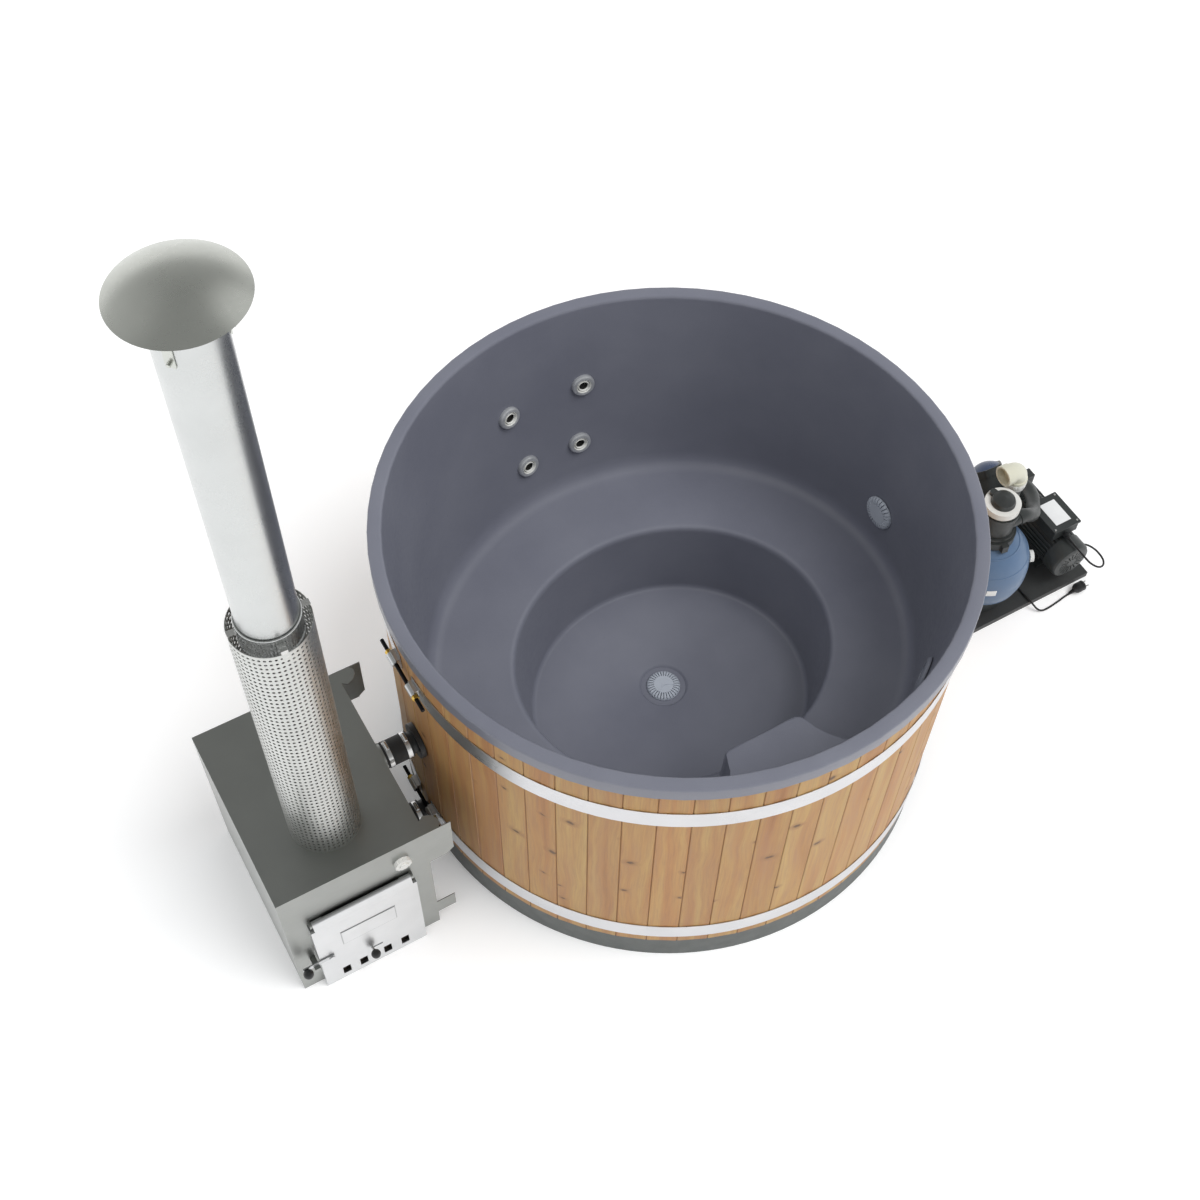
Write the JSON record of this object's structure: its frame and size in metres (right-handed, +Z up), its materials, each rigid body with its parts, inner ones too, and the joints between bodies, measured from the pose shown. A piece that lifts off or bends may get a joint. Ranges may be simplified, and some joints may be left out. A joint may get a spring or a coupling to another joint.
{
  "type": "wood-fired hot tub",
  "caption": "Round wood-clad hot tub with moulded liner, seat and entry step, outside stove with chimney and guard, and a sand filter with pump.",
  "frame": {"origin": "on the tub's vertical axis at the ground", "axes": "+Z up, +X towards the filter and pump, -X towards the stove, the stove door faces -Y"},
  "size_m": [3.141, 1.8144, 2.83],
  "materials": {
    "liner": "gel coat, moulded",
    "timber": "oiled",
    "joist_timber": "sawn",
    "base_plastic": "moulded",
    "stainless": "brushed",
    "bright_steel": "polished",
    "brass": "turned",
    "black_steel": "satin",
    "grey_plastic": "moulded",
    "white_plastic": "moulded",
    "cream_plastic": "moulded",
    "black_plastic": "moulded",
    "blue_plastic": "blow moulded",
    "lid_plastic": "clear, tinted",
    "lens": "clear",
    "stove_metal": "mill finish",
    "grate_iron": "cast",
    "black_rubber": "moulded",
    "motor_paint": "satin",
    "cable_rubber": "smooth"
  },
  "bodies": {
    "tub": {"liner": "liner", "wall_staves": "timber", "base_tray": "base_plastic", "floor_joists": "joist_timber", "hoops": "stainless", "hoop_lugs": "stainless", "hoop_rods": "black_steel", "hoop_nuts": "brass", "drain_cover": "grey_plastic", "drain_pipe": "white_plastic", "suction_cover": "grey_plastic", "circuit_covers": "grey_plastic", "jet_rings": "bright_steel", "light_ring": "grey_plastic", "light_lens": "lens", "stove_body": "stove_metal", "grate": "grate_iron", "hinge_rod": "black_steel", "front_plug": "white_plastic", "hose_sleeves": "black_rubber", "hose_clamps": "stainless", "wall_stubs": "black_plastic", "flue_lower": "stainless", "flue_sleeve": "stainless", "flue_upper": "stainless", "guard": "stainless", "guard_clips": "bright_steel", "rain_cap": "stainless", "filter_plate": "base_plastic", "tank_foot": "black_plastic", "tank": "blue_plastic", "tank_clamp": "black_plastic", "valve_body": "black_plastic", "dial_ring": "white_plastic", "port_adapter": "white_plastic", "elbow": "cream_plastic", "tank_gauge": "white_plastic", "pump_hose": "black_rubber", "pump": "black_plastic", "strainer_ring": "black_plastic", "strainer_lid": "lid_plastic", "motor": "motor_paint", "terminal_box": "black_plastic", "gland": "black_plastic", "switch_box": "black_plastic", "lead_out": "cable_rubber", "lead_coil": "cable_rubber", "lead_in": "cable_rubber", "plug": "cable_rubber"},
    "door": {"door": "stainless", "door_lining": "black_steel"},
    "latch": {"latch_lever": "stainless", "latch_knob": "black_plastic"},
    "damper": {"damper_slide": "stainless", "damper_knob": "black_plastic"},
    "handle": {"valve_handle": "black_plastic"},
    "nozzle_1": {"jet_ball_1": "white_plastic"},
    "nozzle_2": {"jet_ball_2": "white_plastic"},
    "nozzle_3": {"jet_ball_3": "white_plastic"},
    "nozzle_4": {"jet_ball_4": "white_plastic"}
  },
  "joints": [
    {"name": "door_hinge", "type": "hinge", "parent": "tub", "child": "door", "pos_m": [-1.2445, -0.3235, 0.437], "axis": [-1, 0, 0], "range_deg": [0, 105]},
    {"name": "latch_pivot", "type": "hinge", "parent": "door", "child": "latch", "pos_m": [-1.379, -0.3413, 0.205], "axis": [0, 1, 0], "range_deg": [0, 80]},
    {"name": "damper_slide", "type": "slide", "parent": "door", "child": "damper", "axis": [1, 0, 0], "range_m": [0, 0.03]},
    {"name": "valve_turn", "type": "hinge", "parent": "tub", "child": "handle", "pos_m": [1.245, -0.12, 0.54], "axis": [0, 0, 1], "continuous": true},
    {"name": "nozzle_turn_1", "type": "hinge", "parent": "tub", "child": "nozzle_1", "pos_m": [-0.15032, 0.78403, 0.84785], "axis": [0, 0, 1], "range_deg": [-15, 15]},
    {"name": "nozzle_turn_2", "type": "hinge", "parent": "tub", "child": "nozzle_2", "pos_m": [0.12766, 0.79012, 0.84782], "axis": [0, 0, 1], "range_deg": [-15, 15]},
    {"name": "nozzle_turn_3", "type": "hinge", "parent": "tub", "child": "nozzle_3", "pos_m": [-0.10572, 0.74874, 0.60785], "axis": [0, 0, 1], "range_deg": [-15, 15]},
    {"name": "nozzle_turn_4", "type": "hinge", "parent": "tub", "child": "nozzle_4", "pos_m": [0.09487, 0.75301, 0.60783], "axis": [0, 0, 1], "range_deg": [-15, 15]}
  ]
}
